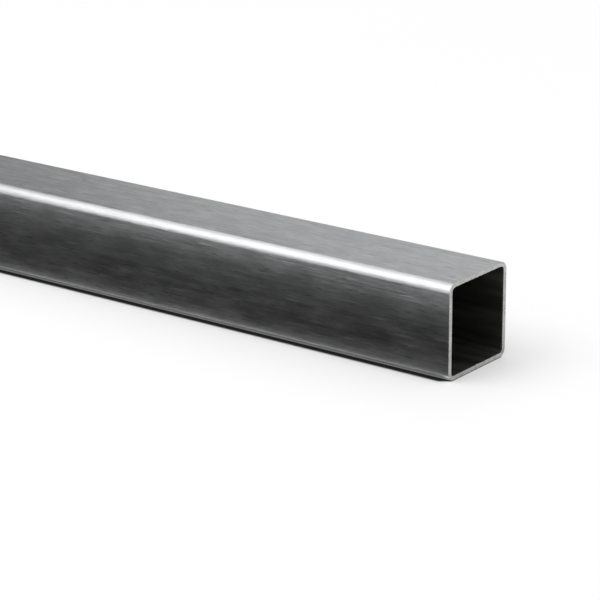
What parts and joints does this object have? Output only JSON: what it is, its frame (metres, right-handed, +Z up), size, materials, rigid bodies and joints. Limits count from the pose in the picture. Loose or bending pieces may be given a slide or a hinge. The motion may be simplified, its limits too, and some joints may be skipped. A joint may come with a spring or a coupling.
{
  "type": "square metal tube",
  "caption": "Straight square hollow steel section with rounded corners and a thin even wall, sawn square and open at both ends, for frames, posts and brackets.",
  "frame": {"origin": "middle of the flat underside: halfway along the tube and halfway across it, at floor level", "axes": "+X runs along the tube towards the end that the picture shows, +Y across it to the far side, +Z up"},
  "size_m": [1, 0.06, 0.06],
  "materials": {
    "bright_steel": "bright mill finish with fine lengthwise drawing lines, satin to glossy at the corners; sawn ends paler"
  },
  "bodies": {
    "root": {"square_tube": "bright_steel"}
  },
  "joints": []
}
